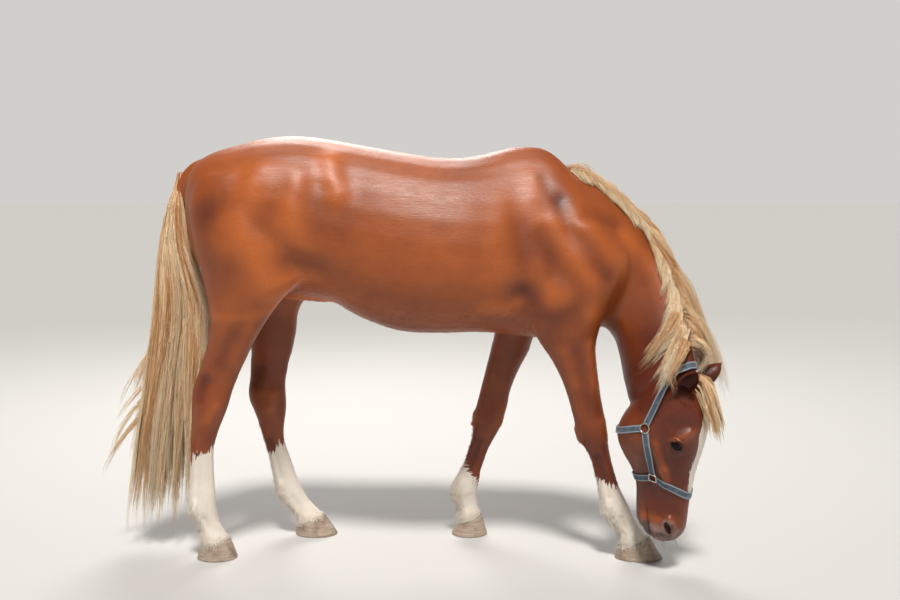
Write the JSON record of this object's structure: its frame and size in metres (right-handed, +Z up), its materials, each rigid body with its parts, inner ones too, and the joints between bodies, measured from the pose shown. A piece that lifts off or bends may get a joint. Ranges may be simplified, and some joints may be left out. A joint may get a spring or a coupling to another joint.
{
  "type": "horse",
  "caption": "Life-size grazing horse with lowered, turned head, long mane and tail, wearing a webbing halter; still museum model.",
  "frame": {"origin": "on the ground, under the middle of the whole model's box", "axes": "+Z up, +X the way the body faces, along its length, so that its right side is towards -Y"},
  "size_m": [2.262, 0.7078, 1.5382],
  "materials": {
    "coat": "short glossy chestnut hair",
    "white_coat": "short white hair of the stockings",
    "hair": "long flaxen hair",
    "eye_brown": "wet and glossy",
    "hoof_horn": "dull pale horn",
    "halter_webbing": "woven webbing with paler stitched edges",
    "halter_metal": "worn plated metal"
  },
  "bodies": {
    "root": {"torso": "coat", "neck": "coat", "head": "coat", "tail": "hair", "ear_right": "coat", "ear_left": "coat", "eye_right": "eye_brown", "eye_left": "eye_brown", "foreleg_right_upper": "coat", "foreleg_right_lower": "white_coat", "foreleg_left_upper": "coat", "foreleg_left_lower": "white_coat", "hindleg_right_upper": "coat", "hindleg_right_lower": "white_coat", "hindleg_left_upper": "coat", "hindleg_left_lower": "white_coat", "foreleg_right_hoof": "hoof_horn", "foreleg_left_hoof": "hoof_horn", "hindleg_right_hoof": "hoof_horn", "hindleg_left_hoof": "hoof_horn", "halter_crown_strap": "halter_webbing", "halter_throat_strap": "halter_webbing", "halter_noseband": "halter_webbing", "halter_chin_strap": "halter_webbing", "halter_cheek_right": "halter_webbing", "halter_cheek_left": "halter_webbing", "halter_round_ring_right": "halter_metal", "halter_round_ring_left": "halter_metal", "halter_square_ring_right": "halter_metal", "halter_square_ring_left": "halter_metal"}
  },
  "joints": []
}
